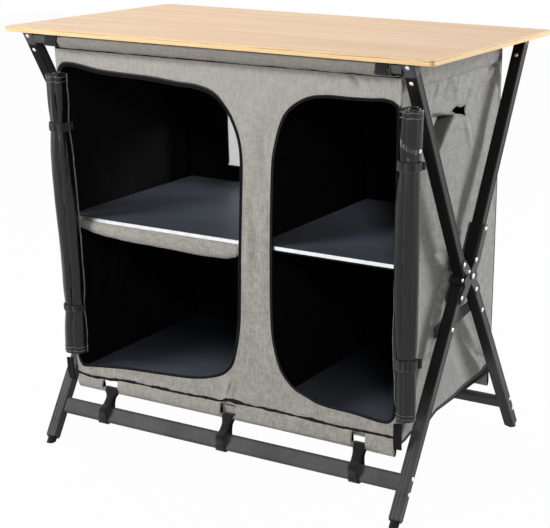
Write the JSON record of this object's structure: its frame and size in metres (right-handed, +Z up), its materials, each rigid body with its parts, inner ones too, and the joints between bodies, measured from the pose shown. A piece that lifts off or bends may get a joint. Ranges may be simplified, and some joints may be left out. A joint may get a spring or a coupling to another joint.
{
  "type": "camping cupboard",
  "caption": "Folding cloth cupboard with two open bays and shelf boards in a crossed tube frame under a light wooden worktop",
  "frame": {"origin": "on the floor at the middle of the footprint", "axes": "+Z up, the open front faces -Y, +X to the right seen from the front"},
  "size_m": [0.862, 0.5458, 0.8],
  "materials": {
    "black_aluminium": "satin black anodised aluminium tube",
    "black_plastic": "moulded matt black plastic",
    "rubber": "black rubber",
    "hub_steel": "dark painted steel",
    "bamboo": "light bamboo plywood with a clear matt coat",
    "grey_cloth": "warm grey melange polyester weave",
    "black_cloth": "black coated polyester",
    "black_webbing": "black woven webbing",
    "slate_board": "satin slate grey coated board",
    "silver_trim": "satin silver aluminium edge",
    "rod_steel": "bare steel rod"
  },
  "bodies": {
    "hub_pivots": {"pivot_bolt_left": "hub_steel", "pivot_bolt_right": "hub_steel"},
    "front_top_frame": {"upper_leg_front_left": "black_aluminium", "upper_leg_front_right": "black_aluminium", "lower_leg_rear_left": "black_aluminium", "lower_leg_rear_right": "black_aluminium", "corner_cap_front_left": "black_plastic", "corner_cap_front_right": "black_plastic", "glide_rear_left": "rubber", "glide_rear_right": "rubber", "hub_stop_rear_left": "black_plastic", "hub_stop_rear_right": "black_plastic", "hub_plate_outer_front_left": "hub_steel", "hub_plate_outer_front_right": "hub_steel", "hub_plate_inner_front_left": "hub_steel", "hub_plate_inner_front_right": "hub_steel", "top_rail_front": "black_aluminium", "bottom_rail_rear": "black_aluminium", "top_sleeve_front": "grey_cloth"},
    "rear_top_frame": {"upper_leg_rear_left": "black_aluminium", "upper_leg_rear_right": "black_aluminium", "lower_leg_front_left": "black_aluminium", "lower_leg_front_right": "black_aluminium", "corner_cap_rear_left": "black_plastic", "corner_cap_rear_right": "black_plastic", "glide_front_left": "rubber", "glide_front_right": "rubber", "hub_stop_front_left": "black_plastic", "hub_stop_front_right": "black_plastic", "hub_plate_outer_rear_left": "hub_steel", "hub_plate_outer_rear_right": "hub_steel", "hub_plate_inner_rear_left": "hub_steel", "hub_plate_inner_rear_right": "hub_steel", "top_rail_rear": "black_aluminium", "bottom_rail_front": "black_aluminium", "top_sleeve_rear": "grey_cloth", "hem_strap_left": "black_webbing", "hem_strap_middle": "black_webbing", "hem_strap_right": "black_webbing", "leg_stay_left": "black_webbing", "leg_stay_right": "black_webbing"},
    "cabinet": {"front_panel": "grey_cloth", "back_panel": "grey_cloth", "side_panel_left": "grey_cloth", "side_panel_right": "grey_cloth", "floor_panel": "black_cloth", "divider_panel": "black_cloth", "shelf_cloth_left": "grey_cloth", "shelf_cloth_right": "grey_cloth", "hem_sleeve_front": "grey_cloth", "hem_rod_front": "rod_steel", "door_roll_left": "black_cloth", "door_roll_right": "black_cloth"},
    "worktop": {"worktop": "bamboo"},
    "shelf_board_left": {"shelf_board_left": "slate_board", "shelf_trim_left": "silver_trim"},
    "shelf_board_right": {"shelf_board_right": "slate_board", "shelf_trim_right": "silver_trim"},
    "base_board_left": {"base_board_left": "slate_board"},
    "base_board_right": {"base_board_right": "slate_board"}
  },
  "joints": [
    {"name": "front_frame_fold", "type": "hinge", "parent": "hub_pivots", "child": "front_top_frame", "pos_m": [0, 0, 0.39], "axis": [-1, 0, 0], "range_deg": [0, 27], "deforming": ["leg_stay_left", "leg_stay_right", "hem_strap_left", "hem_strap_middle", "hem_strap_right", "front_panel", "door_roll_left"]},
    {"name": "rear_frame_fold", "type": "hinge", "parent": "hub_pivots", "child": "rear_top_frame", "pos_m": [0, 0, 0.39], "axis": [1, 0, 0], "range_deg": [0, 27]},
    {"name": "cabinet_rise", "type": "slide", "parent": "hub_pivots", "child": "cabinet", "axis": [0, 0, 1], "range_m": [0, 0.05]},
    {"name": "worktop_lift", "type": "slide", "parent": "hub_pivots", "child": "worktop", "axis": [0, 0, 1], "range_m": [0, 0.125]},
    {"name": "shelf_board_left_pull", "type": "slide", "parent": "cabinet", "child": "shelf_board_left", "axis": [0, -1, 0], "range_m": [0, 0.48]},
    {"name": "shelf_board_right_pull", "type": "slide", "parent": "cabinet", "child": "shelf_board_right", "axis": [0, -1, 0], "range_m": [0, 0.48]},
    {"name": "base_board_left_pull", "type": "slide", "parent": "cabinet", "child": "base_board_left", "axis": [0, -1, 0], "range_m": [0, 0.48]},
    {"name": "base_board_right_pull", "type": "slide", "parent": "cabinet", "child": "base_board_right", "axis": [0, -1, 0], "range_m": [0, 0.48]}
  ],
  "couplings": [
    {"joint": "rear_frame_fold", "follows": "front_frame_fold", "ratio": 1},
    {"joint": "cabinet_rise", "follows": "front_frame_fold", "m_per_rad": 0.105},
    {"joint": "worktop_lift", "follows": "front_frame_fold", "m_per_rad": 0.26},
    {"joint": "shelf_board_left_pull", "follows": "front_frame_fold", "m_per_rad": 1},
    {"joint": "shelf_board_right_pull", "follows": "front_frame_fold", "m_per_rad": 1},
    {"joint": "base_board_left_pull", "follows": "front_frame_fold", "m_per_rad": 1},
    {"joint": "base_board_right_pull", "follows": "front_frame_fold", "m_per_rad": 1}
  ]
}
